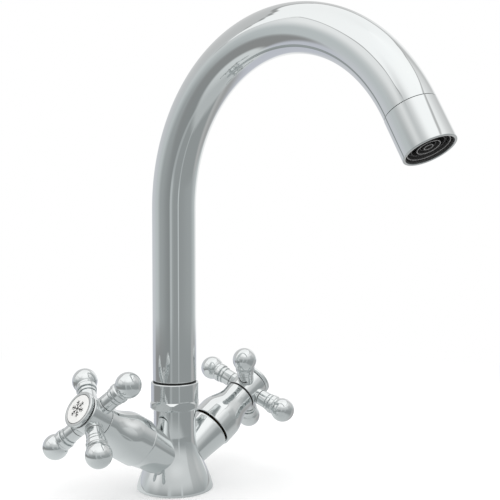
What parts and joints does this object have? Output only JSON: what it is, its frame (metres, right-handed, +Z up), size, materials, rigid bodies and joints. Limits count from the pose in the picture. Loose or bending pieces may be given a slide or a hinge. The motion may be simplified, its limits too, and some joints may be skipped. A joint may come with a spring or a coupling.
{
  "type": "two handle kitchen faucet",
  "caption": "Deck-mounted two-handle kitchen mixer tap: flared body, swivelling gooseneck spout with aerator, and cross handles with ball-ended spokes on two sloping arms.",
  "frame": {"origin": "centre of the base's underside, where it stands on the sink deck", "axes": "+Z up along the riser; -Y towards the user, the way the spout reaches; the cold handle is on -X and the hot one on +X"},
  "size_m": [0.173, 0.2505, 0.299],
  "materials": {
    "polished_chrome": "bright polished chrome plate on brass",
    "brass": "machined",
    "black_rubber": "moulded, matte",
    "black_plastic": "moulded, low friction",
    "grey_plastic": "moulded",
    "stainless_steel": "plain",
    "alumina": "lapped",
    "porcelain": "glazed white with a small black pictogram"
  },
  "bodies": {
    "body": {"mixer_body": "polished_chrome", "base_gasket": "black_rubber", "spout_union_nut": "polished_chrome", "cold_headwork_body": "brass", "cold_headwork_seal": "black_rubber", "cold_seat_seal": "black_rubber", "cold_fixed_disc": "alumina", "cold_shroud": "polished_chrome", "hot_headwork_body": "brass", "hot_headwork_seal": "black_rubber", "hot_seat_seal": "black_rubber", "hot_fixed_disc": "alumina", "hot_shroud": "polished_chrome"},
    "spout": {"spout_tube": "polished_chrome", "spout_foot": "brass", "spout_o_ring_lower": "black_rubber", "spout_o_ring_upper": "black_rubber", "spout_retaining_ring": "stainless_steel", "spout_slip_ring": "black_plastic", "outlet_sleeve": "polished_chrome", "aerator_washer": "black_rubber", "aerator_screen": "stainless_steel", "aerator_insert": "grey_plastic"},
    "cold_handle": {"cold_turning_disc": "alumina", "cold_spindle": "brass", "cold_spindle_o_ring": "black_rubber", "cold_spindle_circlip": "stainless_steel", "cold_handle_hub": "polished_chrome", "cold_handle_screw": "stainless_steel", "cold_index_bezel": "polished_chrome", "cold_index_disc": "porcelain", "cold_spoke_1": "polished_chrome", "cold_spoke_2": "polished_chrome", "cold_spoke_3": "polished_chrome", "cold_spoke_4": "polished_chrome"},
    "hot_handle": {"hot_turning_disc": "alumina", "hot_spindle": "brass", "hot_spindle_o_ring": "black_rubber", "hot_spindle_circlip": "stainless_steel", "hot_handle_hub": "polished_chrome", "hot_handle_screw": "stainless_steel", "hot_index_bezel": "polished_chrome", "hot_index_disc": "porcelain", "hot_spoke_1": "polished_chrome", "hot_spoke_2": "polished_chrome", "hot_spoke_3": "polished_chrome", "hot_spoke_4": "polished_chrome"}
  },
  "joints": [
    {"name": "spout_swivel", "type": "hinge", "parent": "body", "child": "spout", "pos_m": [0, 0, 0.06], "axis": [0, 0, 1], "continuous": true},
    {"name": "cold_handle_turn", "type": "hinge", "parent": "body", "child": "cold_handle", "pos_m": [-0.04212, 0, 0.04234], "axis": [-0.8425, 0, 0.5388], "range_deg": [0, 90]},
    {"name": "hot_handle_turn", "type": "hinge", "parent": "body", "child": "hot_handle", "pos_m": [0.04212, 0, 0.04234], "axis": [0.8425, 0, 0.5388], "range_deg": [0, 90]}
  ]
}
